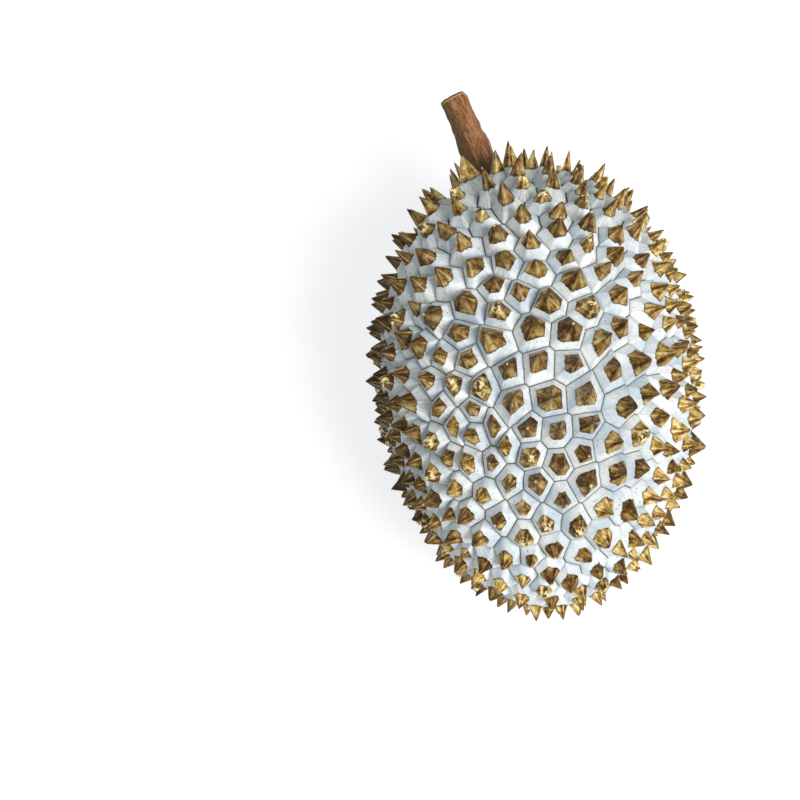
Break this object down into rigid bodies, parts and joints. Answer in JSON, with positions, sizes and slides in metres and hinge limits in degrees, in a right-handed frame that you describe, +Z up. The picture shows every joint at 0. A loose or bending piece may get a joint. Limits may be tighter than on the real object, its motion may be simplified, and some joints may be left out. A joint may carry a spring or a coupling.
{
  "type": "durian",
  "caption": "Whole egg-shaped durian on its side, covered in faceted pyramid thorns, with a short woody stalk at the wider end.",
  "frame": {"origin": "centre of the bounding box's underside, where the fruit rests on its blunted lowest thorns", "axes": "+Y along the fruit's length towards the stalk, +Z up, +X to the right when looking along +Y"},
  "size_m": [0.1852, 0.3202, 0.1755],
  "materials": {
    "rind": "chalky blue-white skin with dry golden-brown thorn tips",
    "bark": "rough matt reddish-brown bark"
  },
  "bodies": {
    "root": {"fruit": "rind", "stalk": "bark"}
  },
  "joints": []
}
